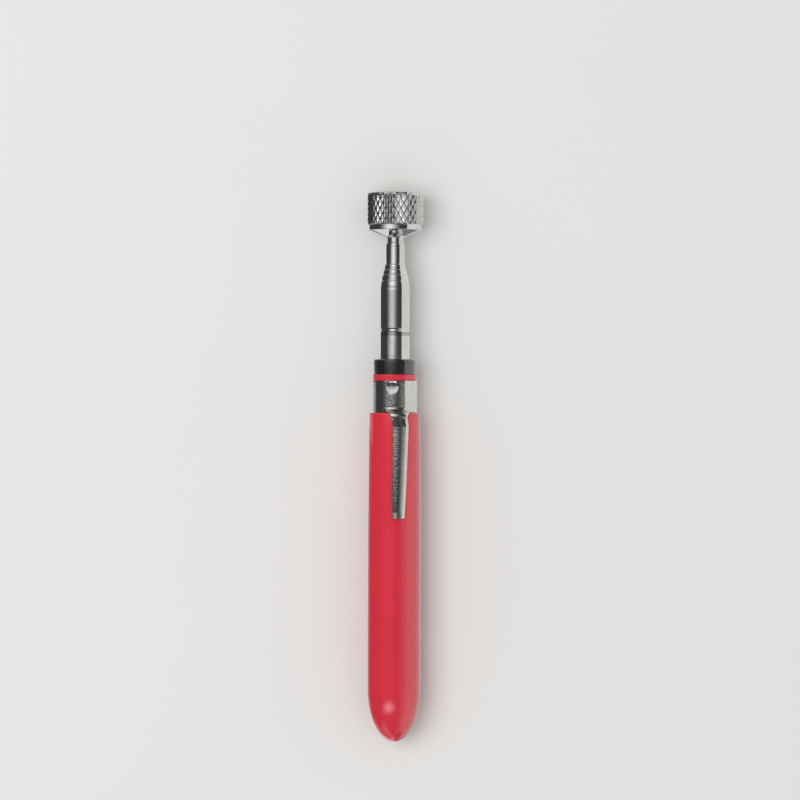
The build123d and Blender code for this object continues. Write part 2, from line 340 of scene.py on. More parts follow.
def calc(tree, operation, first, second=0.0, clamp=False):
    """A Math node's output."""
    return put(tree, "Math", {0: first, 1: second}, operation=operation, use_clamp=clamp).outputs[0]


def times(tree, *factors):
    """Product of the factors."""
    result = factors[0]
    for factor in factors[1:]:
        result = calc(tree, "MULTIPLY", result, factor)
    return result


def plus(tree, first, second):
    """Sum of two values."""
    return calc(tree, "ADD", first, second)


def ramp(tree, value, low, high, start=0.0, end=1.0):
    """value's place between low and high, eased, as a number from start to end."""
    inputs = {0: value, 1: low, 2: high, 3: start, 4: end}
    return put(tree, "MapRange", inputs, interpolation_type="SMOOTHSTEP").outputs[0]


def blend_colours(tree, factor, first, second):
    """First colour where factor is 0 and second where it is 1."""
    inputs = {0: factor, 6: first, 7: second}
    return put(tree, "Mix", inputs, data_type="RGBA").outputs[2]


def shade(rgb, factor):
    """A colour with its brightness scaled."""
    return tuple(min(1.0, c * factor) for c in rgb) + (1.0,)


def texture(tree, kind, vector, scale, inputs=(), **settings):
    """A noise or cell texture of the given scale. Returns its outputs."""
    return put(tree, kind, {"Vector": vector, "Scale": scale, **dict(inputs)}, **settings).outputs


def new_group(name, inputs, output):
    """An empty shader group with Vector and float inputs and one float output. Returns the tree and its
    two ends."""
    tree = bpy.data.node_groups.new(name, "ShaderNodeTree")
    tree.interface.new_socket("Vector", in_out="INPUT", socket_type="NodeSocketVector")
    for label, default in inputs.items():
        socket = tree.interface.new_socket(label, in_out="INPUT", socket_type="NodeSocketFloat")
        socket.default_value = default
    tree.interface.new_socket(output, in_out="OUTPUT", socket_type="NodeSocketFloat")
    return tree, tree.nodes.new("NodeGroupInput").outputs, tree.nodes.new("NodeGroupOutput").inputs


def streaks_group():
    """Fine straight marks: noise stretched along the tool by Along and squeezed round it by Across, both
    in marks a metre. Coverage is the share of the surface that is marked."""
    inputs = {"Along": 60.0, "Across": 9000.0, "Coverage": 0.4}
    tree, given, result = new_group("Fine streaks", inputs, "Mask")
    scale = put(tree, "CombineXYZ", {0: given["Along"], 1: given["Across"], 2: given["Across"]}).outputs[0]
    stretched = put(tree, "VectorMath", {0: given["Vector"], 1: scale}, operation="MULTIPLY").outputs[0]
    noise = texture(tree, "TexNoise", stretched, 1.0, {"Detail": 3.0, "Roughness": 0.6})[0]
    edge = calc(tree, "SUBTRACT", 0.72, times(tree, given["Coverage"], 0.44))
    wire(tree, result["Mask"], ramp(tree, noise, edge, plus(tree, edge, 0.12)))
    return tree


def smudges_group():
    """Soft handling marks: cloudy noise whose patches are Size across, with a second, finer layer over
    them."""
    tree, given, result = new_group("Handling smudges", {"Size": 0.006, "Contrast": 1.0}, "Mask")
    scale = calc(tree, "DIVIDE", 1.0, given["Size"])
    broad = texture(tree, "TexNoise", given["Vector"], scale, {"Detail": 4.0, "Distortion": 0.8})[0]
    fine = texture(tree, "TexNoise", given["Vector"], times(tree, scale, 4.3), {"Detail": 2.0})[0]
    both = plus(tree, times(tree, broad, 0.7), times(tree, fine, 0.3))
    spread = times(tree, calc(tree, "SUBTRACT", ramp(tree, both, 0.36, 0.64), 0.5), given["Contrast"])
    wire(tree, result["Mask"], calc(tree, "ADD", spread, 0.5, clamp=True))
    return tree


def grain_group():
    """Moulded or cast grain: rounded cells Size across, softened by a noise of the same size. Output is a
    height."""
    tree, given, result = new_group("Fine grain", {"Size": 0.0002}, "Height")
    scale = calc(tree, "DIVIDE", 1.0, given["Size"])
    cells = texture(tree, "TexVoronoi", given["Vector"], scale, feature="SMOOTH_F1")[0]
    noise = texture(tree, "TexNoise", given["Vector"], scale, {"Detail": 3.0})[0]
    height = plus(tree, times(tree, cells, 0.6), noise)
    wire(tree, result["Height"], times(tree, height, 0.6))
    return tree


def specks_group():
    """Scattered specks: cells Spacing apart, of which the share Amount holds a round speck."""
    inputs = {"Spacing": 0.0008, "Amount": 0.25, "Radius": 0.22}
    tree, given, result = new_group("Scattered specks", inputs, "Mask")
    scale = calc(tree, "DIVIDE", 1.0, given["Spacing"])
    distance, random_colour = texture(tree, "TexVoronoi", given["Vector"], scale)[:2]
    number = put(tree, "SeparateColor", {0: random_colour}).outputs[0]
    chosen = calc(tree, "LESS_THAN", number, given["Amount"])
    inner = times(tree, given["Radius"], 0.5)
    wire(tree, result["Mask"], times(tree, chosen, ramp(tree, distance, given["Radius"], inner)))
    return tree


GROUP_MAKERS = {
    "Fine streaks": streaks_group,
    "Handling smudges": smudges_group,
    "Fine grain": grain_group,
    "Scattered specks": specks_group,
}


def effect(tree, name, vector, **values):
    """Output of a shared effect placed in a material with its own values. The group is built the first
    time."""
    group = bpy.data.node_groups.get(name) or GROUP_MAKERS[name]()
    made = tree.nodes.new("ShaderNodeGroup")
    made.node_tree = group
    wire(tree, made.inputs["Vector"], vector)
    for key, value in values.items():
        wire(tree, made.inputs[key], value)
    return made.outputs[0]


def new_finish(name):
    """A new material. Returns it with its tree, its Object coordinates and its Principled shader."""
    material = bpy.data.materials.new(name)
    material.use_nodes = True
    tree = material.node_tree
    tree.nodes.clear()
    shader = put(tree, "BsdfPrincipled")
    surface = put(tree, "OutputMaterial")
    tree.links.new(shader.outputs[0], surface.inputs["Surface"])
    return material, tree, put(tree, "TexCoord").outputs["Object"], shader


def bump(tree, shader, height, distance):
    """Bump from a height in units of distance metres."""
    made = put(tree, "Bump", {"Strength": 1.0, "Distance": distance, "Height": height})
    tree.links.new(made.outputs[0], shader.inputs["Normal"])


def colour_and_gloss(tree, shader, tint, rough, metallic=0.0):
    """Sets the shader's base colour, roughness and metallic value."""
    wire(tree, shader.inputs["Base Color"], tint)
    wire(tree, shader.inputs["Roughness"], rough)
    shader.inputs["Metallic"].default_value = metallic


def plated_metal(name, rgb, roughness, along, across, pits=0.0, grain=0.0, groove=None):
    """Bright plate with fine straight marks, faint smudges and, where asked, pits, a grain and darkened
    grooves."""
    material, tree, place, shader = new_finish(name)
    marks = effect(tree, "Fine streaks", place, Along=along, Across=across, Coverage=0.35)
    smudge = effect(tree, "Handling smudges", place, Size=5 * MM)
    speck = effect(tree, "Scattered specks", place, Spacing=0.5 * MM, Amount=0.10 + pits, Radius=0.2)
    tint = blend_colours(tree, smudge, shade(rgb, 1.0), shade(rgb, 0.93))
    tint = blend_colours(tree, times(tree, speck, 0.25 + pits), tint, shade(rgb, 0.45))
    rough = plus(tree, roughness, times(tree, marks, 0.03))
    rough = plus(tree, rough, times(tree, smudge, 0.02))
    if groove is not None:
        depth = put(tree, "Attribute", attribute_name=groove).outputs["Fac"]
        tint = blend_colours(tree, times(tree, depth, 0.55), tint, shade(rgb, 0.30))
        rough = plus(tree, rough, times(tree, depth, 0.16))
    colour_and_gloss(tree, shader, tint, rough, metallic=1.0)
    height = calc(tree, "SUBTRACT", times(tree, marks, 0.5), times(tree, speck, 0.5))
    distance = 0.0012 * MM + pits * 0.03 * MM
    if grain > 0:
        cells = effect(tree, "Fine grain", place, Size=0.42 * MM)
        height = plus(tree, height, times(tree, cells, grain / distance))
    bump(tree, shader, height, distance)
    return material


def moulded_plastic(name, rgb, roughness, grain, depth, scuff, coat_ior, coat_roughness):
    """Moulded plastic with a fine grain, slow colour drift, faint smudges and small pale scuffs."""
    material, tree, place, shader = new_finish(name)
    height = effect(tree, "Fine grain", place, Size=grain)
    smudge = effect(tree, "Handling smudges", place, Size=9 * MM)
    marks = effect(tree, "Fine streaks", place, Along=120.0, Across=1600.0, Coverage=0.05)
    speck = effect(tree, "Scattered specks", place, Spacing=2.2 * MM, Amount=0.16, Radius=0.08)
    tint = blend_colours(tree, smudge, shade(rgb, 1.04), shade(rgb, 0.95))
    tint = blend_colours(tree, times(tree, height, 0.35), tint, shade(rgb, 0.82))
    pale = tuple(0.75 * c + 0.25 for c in rgb)
    worn = times(tree, calc(tree, "MAXIMUM", marks, speck), scuff)
    rough = plus(tree, roughness, times(tree, smudge, 0.06))
    rough = plus(tree, rough, times(tree, worn, 0.2))
    colour_and_gloss(tree, shader, blend_colours(tree, worn, tint, shade(pale, 1.0)), rough)
    shader.inputs["Coat Weight"].default_value = 1.0
    shader.inputs["Coat Roughness"].default_value = coat_roughness
    shader.inputs["Coat IOR"].default_value = coat_ior
    bump(tree, shader, height, depth)
    return material


def turned_metal(name, rgb, roughness):
    """Plain turned metal: tool marks run round the piece, and the surface is slightly tarnished in
    patches."""
    material, tree, place, shader = new_finish(name)
    rings = effect(tree, "Fine streaks", place, Along=9000.0, Across=90.0, Coverage=0.5)
    tarnish = effect(tree, "Handling smudges", place, Size=2.5 * MM)
    tint = blend_colours(tree, tarnish, shade(rgb, 1.0), shade(rgb, 0.72))
    tint = blend_colours(tree, times(tree, rings, 0.3), tint, shade(rgb, 0.6))
    colour_and_gloss(tree, shader, tint, plus(tree, roughness, times(tree, tarnish, 0.15)), metallic=1.0)
    bump(tree, shader, rings, 0.004 * MM)
    return material


# ---- the pieces


class PICKUP_OT_tubes(bpy.types.Operator):
    """Build the six nested tubes with their rolled mouths, stop crimps and necked feet"""

    bl_idname = "pickup.tubes"
    bl_label = "Telescoping tubes"

    def execute(self, context):
        sizes = context.scene.pickup_tube_sizes
        need(*[f"tube_{number}" for number in range(1, TUBES + 1)])
        rgb = context.scene.pickup_colours.tube
        chrome = plated_metal("Tube plate", rgb, 0.015, along=45.0, across=7000.0)
        radius = radius_of("tube_1")
        for number in range(1, TUBES + 1):
            name = f"tube_{number}"
            inner = radius_of(f"tube_{number + 1}") - sizes.flare if number < TUBES else None
            outline = self.outline(sizes, number, stations_of(name), radius, inner)
            piece = turned(f"chrome_{name}", outline, chrome, columns=TUBE_COLUMNS)
            body = "handle" if number == 1 else "head" if number == TUBES else f"section_{number}"
            finish_piece(piece, body, "tube", name)
            self.outer_bore, radius = radius - sizes.wall, inner
        return {"FINISHED"}

    def outline(self, sizes, number, ends, radius, inner):
        """Outer side from the foot to the mouth, then the bore back. The stop crimp is a cosine dent, and
        the nose falls from the tube's radius to the next tube's as a superellipse. A support point before
        and after each keeps the tube between them straight in shading."""
        foot, mouth = ends
        bore = radius - sizes.wall
        edge = 0.03 * MM
        if number == 1:
            start, end = [(foot, bore, edge), (foot, radius, edge)], []
        else:
            flared = radius + sizes.flare
            seat = self.outer_bore - sizes.clearance - sizes.shoe_metal
            low, high = foot + sizes.flare_length, foot + sizes.flare_length + sizes.shoe_length
            shoulder = high + 2 * sizes.shoe_metal
            start = [(foot, flared - sizes.wall, edge), (foot, flared, edge), (low, flared, edge)]
            start += [(low, seat, edge), (high, seat, edge), (shoulder, radius, edge)]
            end = [(shoulder, bore, edge), (high, seat - sizes.wall, edge), (low, seat - sizes.wall, edge)]
            end += [(low - sizes.wall, flared - sizes.wall, edge)]
        if inner is None:
            return rounded(*start, (mouth, radius, edge), (mouth, bore, edge), *end)
        guide = inner + sizes.clearance
        nose = sizes.outer_nose if number == 1 else sizes.nose
        power = 1.75 if number == 1 else 2.0
        crimp = mouth - sizes.crimp_below
        dent = np.concatenate([[-1.2], np.linspace(-1, 1, 19), [1.2]])
        dip = sizes.crimp_depth * (1 + np.cos(pi * np.clip(dent, -1, 1))) / 2
        outer_crimp = np.column_stack([crimp + dent * sizes.crimp_width, radius - dip])
        inner_crimp = np.column_stack([crimp + dent * sizes.crimp_width, bore - dip])[::-1]
        share = np.sin(np.linspace(0, pi / 2, 14))
        end_step = 0.02 * MM
        fall = guide + end_step + (radius - guide - end_step) * (1 - share**power) ** (1 / power)
        rolled = np.column_stack([mouth - nose + share * nose, fall])
        rolled = np.vstack([[mouth - nose - sizes.wall, radius], rolled])
        lip = mouth - sizes.lip
        inside = [(mouth, guide), (lip, guide), (lip - sizes.wall, bore)]
        foot_side = rounded(*start, (crimp, radius, 0), (crimp, bore, 0), *end)
        split = int(np.argmax(foot_side[:, 0]))
        after = int(len(foot_side) - np.argmax(foot_side[::-1, 0]) - 1)
        going, coming = foot_side[:split], foot_side[after + 1 :]
        return np.vstack([going, outer_crimp, rolled, inside, inner_crimp, coming])


class PICKUP_OT_grip(bpy.types.Operator):
    """Build the moulded grip with its rounded end, shoulder, neck and lip"""

    bl_idname = "pickup.grip"
    bl_label = "Grip"

    def execute(self, context):
        need("handle_grip", "tube_1", "tube_end_plug")
        sizes, clip = context.scene.pickup_grip_sizes, context.scene.pickup_clip_sizes
        plastic = moulded_plastic(
            "Grip plastic",
            context.scene.pickup_colours.grip,
            roughness=0.40,
            grain=0.24 * MM,
            depth=0.010 * MM,
            scuff=0.30,
            coat_ior=1.70,
            coat_roughness=0.035,
        )
        radius = radius_of("handle_grip")
        top = stations_of("handle_grip")[1]
        floor = stations_of("tube_end_plug")[0]
        spigot_foot = stations_of("collar_bush")[0]
        bore = radius_of("tube_1")
        swell = np.linspace(0, pi / 2, 48)
        end = np.column_stack([sizes.end_length * (1 - np.cos(swell)), radius * np.sin(swell)])
        body = rounded(
            (sizes.end_length, radius, 0),
            (sizes.barrel_top, radius, 20 * MM),
            (sizes.shoulder, sizes.shoulder_radius, 0.5 * MM),
            (sizes.shoulder, sizes.neck_radius, 0.1 * MM),
            (sizes.lip_foot, sizes.neck_radius, 0.1 * MM),
            (sizes.lip_foot, sizes.lip_radius, 0.15 * MM),
            (top, sizes.lip_radius, 0.3 * MM),
            (top, sizes.spigot_radius, 0.05 * MM),
            (spigot_foot, sizes.spigot_radius, 0.05 * MM),
            (spigot_foot, bore, 0.05 * MM),
            (floor, bore, 0.1 * MM),
            (floor, 0, 0),
            closed=False,
        )
        rows, inset = 40, 0.4 * MM
        neck = np.linspace(sizes.shoulder + inset, sizes.lip_foot - inset, rows)
        at_neck = np.flatnonzero(np.diff(body[:, 0]) > 5 * MM)
        split = int(at_neck[at_neck > 6][-1]) + 1
        neck = np.column_stack([neck, np.full(rows, sizes.neck_radius)])
        body = np.vstack([body[:split], neck, body[split:]])
        ring_bore = AXIS_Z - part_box("clip_band")[0].z - clip.metal

        def dent(station, turn, radius):
            """The neck gives way to the ring's dimple."""
            dimple = ring_bore - dimple_dip(clip, station, turn) - 0.02 * MM
            outside = (radius > bore * 1.2) & (station > sizes.shoulder + 0.3 * MM)
            return np.where(outside & (station < sizes.lip_foot), np.minimum(radius, dimple), radius)

        outline = np.vstack([end, body[1:]])
        piece = turned("red_grip", outline, plastic, columns=GRIP_COLUMNS, closed=False, cut=dent)
        finish_piece(piece, "handle", "grip", "handle_grip")
        return {"FINISHED"}


class PICKUP_OT_collar(bpy.types.Operator):
    """Build the gloss black collar bush at the mouth of the grip"""

    bl_idname = "pickup.collar"
    bl_label = "Collar"

    def execute(self, context):
        need("collar_bush", "handle_grip", "tube_1")
        sizes = context.scene.pickup_grip_sizes
        gloss = moulded_plastic(
            "Collar plastic",
            context.scene.pickup_colours.collar,
            roughness=0.12,
            grain=0.5 * MM,
            depth=0.002 * MM,
            scuff=0.05,
            coat_ior=1.9,
            coat_roughness=0.05,
        )
        foot, top = stations_of("collar_bush")
        seat = stations_of("handle_grip")[1]
        outer, bore = radius_of("collar_bush"), radius_of("tube_1")
        outline = rounded(
            (foot, bore, 0.1 * MM),
            (foot, sizes.spigot_radius, 0.1 * MM),
            (seat, sizes.spigot_radius, 0.05 * MM),
            (seat, outer, 0.12 * MM),
            (top, outer, 0.6 * MM),
            (top, bore, 0.12 * MM),
        )
        finish_piece(turned("black_collar", outline, gloss), "handle", "collar", "collar_bush")
        return {"FINISHED"}


def dimple_dip(sizes, station, turn):
    """Depth of the ring's dimple: a flat dish that is depth times (1 - d to the fourth) squared, where d
    is the distance from its centre over its half length. The dish is a little wider across than along."""
    across = AXIS_Z * np.angle(np.exp(1j * (turn - sizes.dimple_turn)))
    away = ((station - sizes.dimple_station) ** 2 + (across * 0.92) ** 2) / sizes.dimple_half**2
    return sizes.dimple_depth * np.clip(1 - away**2, 0, 1) ** 2


class PICKUP_OT_clip(bpy.types.Operator):
    """Build the pocket clip: a ring, a tongue that steps over the shoulder, and a crowned spring arm"""

    bl_idname = "pickup.clip"
    bl_label = "Pocket clip"

    def execute(self, context):
        need("clip_band", "clip_arm")
        sizes = context.scene.pickup_clip_sizes
        rgb = context.scene.pickup_colours.clip
        plate = plated_metal(
            "Clip plate", rgb, 0.03, along=400.0, across=2600.0, pits=0.12, grain=0.016 * MM
        )
        points, faces = self.sheet(sizes)
        piece = mesh_piece("pocket_clip", points, faces, plate)
        metal = piece.modifiers.new("Metal", "SOLIDIFY")
        metal.thickness, metal.offset, metal.use_even_offset = sizes.metal, 0, True
        edge = piece.modifiers.new("Edge", "BEVEL")
        edge.width, edge.segments, edge.limit_method, edge.angle_limit = 0.07 * MM, 3, "ANGLE", radians(50)
        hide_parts("clip_band", "clip_arm")
        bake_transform(piece)
        return {"FINISHED"}

    def sheet(self, sizes):
        """The middle surface of the metal as one sheet. Across the clip a point has an offset w and a
        height h above the axis: h = ring radius + lift times window - crown sagitta. lift follows the
        clip's side view, window fades it out past the tongue's sides, and the sagitta of a circle of the
        crown's radius bows the section. The ring's rows go all the way round, and the tongue's rows carry
        on the columns that lie within its width."""
        ring = AXIS_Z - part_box("clip_band")[0].z - sizes.metal / 2
        ring_top = stations_of("clip_band")[1]
        tip = stations_of("clip_arm")[0]
        root_fillet = 1.5 * MM
        fade_start = 3.20 * MM
        root = sizes.ring_foot - root_fillet
        side = rounded(
            (ring_top, ring, 0),
            (sizes.step_top, ring, 1.2 * MM),
            (sizes.step_foot, sizes.root_height, 1.2 * MM),
            (sizes.step_foot - 4.5 * MM, sizes.arm_height - 0.03 * MM, 4 * MM),
            (tip + 4.7 * MM, sizes.arm_height, 2 * MM),
            (tip + 1.8 * MM, sizes.arm_height - sizes.dip, 0.8 * MM),
            (tip, sizes.arm_height, 0),
            closed=False,
        )[::-1]

        half_tongue, rest = 24, 104
        spread = np.arcsin(sizes.tongue_half / ring)
        tongue_turn = np.linspace(-spread, spread, 2 * half_tongue + 1)
        rest_turn = np.linspace(spread, 2 * pi - spread, rest + 2)[1:-1]
        share = np.sin(tongue_turn) / np.sin(spread)

        def lifted(station, offset, crown):
            lift = np.interp(station, side[:, 0], side[:, 1]) - ring
            fade = np.clip((np.abs(offset) - fade_start) / (sizes.tongue_half - fade_start), 0, 1)
            window = 1 - fade * fade * (3 - 2 * fade)
            return ring + lift * window - (crown - np.sqrt(np.maximum(crown**2 - offset**2, 0)))

        # ring rows, from the top edge down to the foot
        lift_top = sizes.step_top + 1.0 * MM
        plain = np.linspace(ring_top, lift_top, 40)
        station = np.concatenate([plain, np.linspace(lift_top, sizes.ring_foot, 18)[1:]])
        turn = np.concatenate([tongue_turn, rest_turn])
        station, turn = np.meshgrid(station, turn, indexing="ij")
        offset, height = ring * np.sin(turn), ring * np.cos(turn)
        tongue = 2 * half_tongue + 1
        height[:, :tongue] = lifted(station[:, :tongue], offset[:, :tongue], ring)
        dip = dimple_dip(sizes, station, turn + sizes.turn)
        offset, height = offset - dip * np.sin(turn), height - dip * np.cos(turn)
        ring_part = np.stack([station, offset, height], axis=-1)

        # tongue rows: fillet into the arm, the tapering arm, and the tip's small corner rounding
        fillet = np.linspace(0, pi / 2, 22)[1:]
        down = root + root_fillet * np.cos(fillet)
        wide = sizes.tongue_half - (sizes.tongue_half - sizes.root_half) * np.sin(fillet)
        corner = 0.35 * MM
        arm = np.linspace(root, tip + corner, 64)[1:]
        widths = [sizes.tip_half, sizes.tip_half + 0.22 * MM, sizes.root_half]
        arm_wide = np.interp(arm, [tip, tip + 5 * MM, root], widths)
        close = np.linspace(0, pi / 2, 6)[1:]
        tip_row = tip + corner * (1 - np.sin(close))
        tip_wide = arm_wide[-1] - corner * (1 - np.cos(close))
        station = np.concatenate([down, arm, tip_row])
        wide = np.concatenate([wide, arm_wide, tip_wide])
        along = np.clip((root - station) / (root - tip), 0, 1)
        crown = np.interp(along, [0, 0.02, 1], [ring, sizes.root_crown, sizes.tip_crown])
        middle = sizes.shift * np.clip(along * 12, 0, 1) - sizes.lean * along
        offset = share[None, :] * wide[:, None]
        height = lifted(station[:, None], offset, crown[:, None])
        offset = offset + middle[:, None]
        station = np.broadcast_to(station[:, None], offset.shape)
        tongue_part = np.stack([station, offset, height], axis=-1)

        grid = np.vstack([ring_part.reshape(-1, 3), tongue_part.reshape(-1, 3)])
        station, offset, height = grid.T
        sine, cosine = sin(sizes.turn), cos(sizes.turn)
        across, up = offset * cosine + height * sine, AXIS_Z + height * cosine - offset * sine
        points = np.stack([TOOL_END + station, -across, up], axis=-1)
        ring_index = np.arange(ring_part.shape[0] * ring_part.shape[1]).reshape(ring_part.shape[:2])
        tongue_index = ring_index.size + np.arange(tongue_part.shape[0] * tongue).reshape(-1, tongue)
        tongue_index = np.vstack([ring_index[-1:, :tongue], tongue_index])
        wrapped = np.hstack([ring_index, ring_index[:, :1]])
        faces = []
        for index in (wrapped, tongue_index):
            faces += faces_of(index[:-1, :-1], index[1:, :-1], index[1:, 1:], index[:-1, 1:])
        return points, faces


class PICKUP_OT_head(bpy.types.Operator):
    """Build the knurled magnet cup, its magnet and the spacer between them"""

    bl_idname = "pickup.head"
    bl_label = "Magnet head"

    def execute(self, context):
        need("magnet_cup", "magnet", "magnet_spacer")
        sizes, colours = context.scene.pickup_head_sizes, context.scene.pickup_colours
        plate = plated_metal("Head plate", colours.head, 0.03, along=5200.0, across=60.0, groove="groove")
        self.cup(sizes, plate)
        self.magnet(colours)
        return {"FINISHED"}

    def knurl(self, sizes, station, turn, crest):
        """Two families of V grooves, one of each hand. A family's phase grows by one for each groove round
        the tool and for each diamond along it, and its height is a triangle wave of the phase, cut off
        flat near the crest. The lower of the two families is what is left of the metal, and the grooves
        run out at the magnet's end."""
        round_phase = sizes.knurl_starts * turn / (2 * pi)
        along_phase = (station - sizes.knurl_foot) / sizes.knurl_height
        heights = []
        for phase in (round_phase + along_phase, round_phase - along_phase):
            wave = 2 * np.abs(phase - np.floor(phase) - 0.5)
            heights.append(np.minimum(1, wave / (1 - sizes.knurl_flat)))
        top = stations_of("magnet_cup")[1]
        fade = np.clip((top - station) / sizes.knurl_fade, 0, 1)
        return crest - sizes.knurl_depth * fade * (1 - np.minimum(*heights))

    def cup(self, sizes, plate):
        foot, top = stations_of("magnet_cup")
        crest = radius_of("magnet_cup")
        floor = stations_of("magnet")[0]
        pocket = radius_of("magnet_spacer")
        socket = radius_of("tube_6") - bpy.context.scene.pickup_tube_sizes.flare
        edge = 0.06 * MM
        under = rounded(
            (foot, socket, edge),
            (foot, sizes.hub_radius - 0.3 * MM, 0.1 * MM),
            (sizes.hub, sizes.hub_radius, 0.3 * MM),
            (sizes.band_foot, sizes.band_radius, 0.15 * MM),
            (sizes.knurl_foot, sizes.band_radius, 0.1 * MM),
            (sizes.knurl_foot, crest - 0.25 * MM, 0.1 * MM),
            (sizes.knurl_foot + 0.25 * MM, crest, 0),
            (top, crest, 0),
            closed=False,
        )
        apart = sizes.knurl_height / ROWS_PER_DIAMOND
        rows = np.arange(sizes.knurl_foot + 0.35 * MM, top - sizes.rim_round, apart)
        side = np.column_stack([rows, np.full(len(rows), crest)])
        bow = np.linspace(0, pi / 2, 12)
        rim = np.column_stack(
            [top - sizes.rim_round * (1 - np.sin(bow)), crest - sizes.rim_round * (1 - np.cos(bow))]
        )
        sink = floor - sizes.screw_head + sizes.screw_radius
        inside = rounded(
            (top, crest - sizes.rim_round, 0),
            (top, pocket, 0.2 * MM),
            (floor, pocket, 0.1 * MM),
            (floor, sizes.screw_head, edge),
            (sink, sizes.screw_radius, edge),
            (sizes.socket_top, sizes.screw_radius, edge),
            (sizes.socket_top, socket, edge),
            (foot, socket, 0),
            closed=False,
        )
        outline = np.vstack([under[:-2], side, rim, inside[1:-1]])

        def cut(station, turn, radius):
            knurled = (station >= sizes.knurl_foot - 1e-9) & (radius > sizes.band_radius + 1e-6)
            return np.where(knurled, radius - crest + self.knurl(sizes, station, turn, crest), radius)

        columns = COLUMNS_PER_GROOVE * sizes.knurl_starts
        piece = turned("knurled_cup", outline, plate, columns=columns, cut=cut, sharp=None)
        mesh = piece.data
        place = np.empty(len(mesh.vertices) * 3)
        mesh.vertices.foreach_get("co", place)
        place = place.reshape(-1, 3)
        radius = np.hypot(place[:, 1], place[:, 2] - AXIS_Z)
        knurled = (place[:, 0] - TOOL_END > sizes.knurl_foot) & (radius > sizes.band_radius + 0.01 * MM)
        depth = np.where(knurled, np.clip((crest - radius) / sizes.knurl_depth, 0, 1) ** 2, 0)
        depth = np.where(place[:, 0] - TOOL_END > top - sizes.rim_round, 0, depth)
        mesh.attributes.new("groove", "FLOAT", "POINT").data.foreach_set("value", depth.astype(np.float32))
        finish_piece(piece, "head", "cup", "magnet_cup")

    def magnet(self, colours):
        floor, face = stations_of("magnet")
        radius = radius_of("magnet")
        nickel = plated_metal("Magnet plate", colours.magnet, 0.16, along=900.0, across=900.0, pits=0.05)
        outline = rounded(
            (floor, 0, 0), (floor, radius, 0.15 * MM), (face, radius, 0.3 * MM), (face, 0, 0), closed=False
        )
        finish_piece(turned("nickel_magnet", outline, nickel, closed=False), "head", "magnet", "magnet")
        brass = turned_metal("Spacer brass", colours.brass, 0.22)
        low, high = stations_of("magnet_spacer")
        outer = radius_of("magnet_spacer")
        edge = 0.08 * MM
        ring = rounded((low, radius, edge), (low, outer, edge), (high, outer, edge), (high, radius, edge))
        finish_piece(turned("brass_spacer", ring, brass), "head", "spacer", "magnet_spacer")


class PICKUP_OT_inner_finishes(bpy.types.Operator):
    """Give the friction shoes, the plugs and the head screw their metal finishes"""

    bl_idname = "pickup.inner_finishes"
    bl_label = "Inner finishes"

    def execute(self, context):
        colours = context.scene.pickup_colours
        bronze = turned_metal("Shoe bronze", colours.bronze, 0.28)
        brass = turned_metal("Plug brass", colours.brass, 0.24)
        steel = turned_metal("Screw steel", colours.steel, 0.30)
        finishes = {"tube_end_plug": brass, "tip_plug": brass, "head_screw": steel}
        for number in range(2, TUBES + 1):
            for half in ("front", "back"):
                finishes[f"friction_shoe_{number}_{half}"] = bronze
        need(*finishes)
        for node, finish in finishes.items():
            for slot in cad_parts[node].material_slots:
                slot.material = finish
        return {"FINISHED"}


# ---- stage


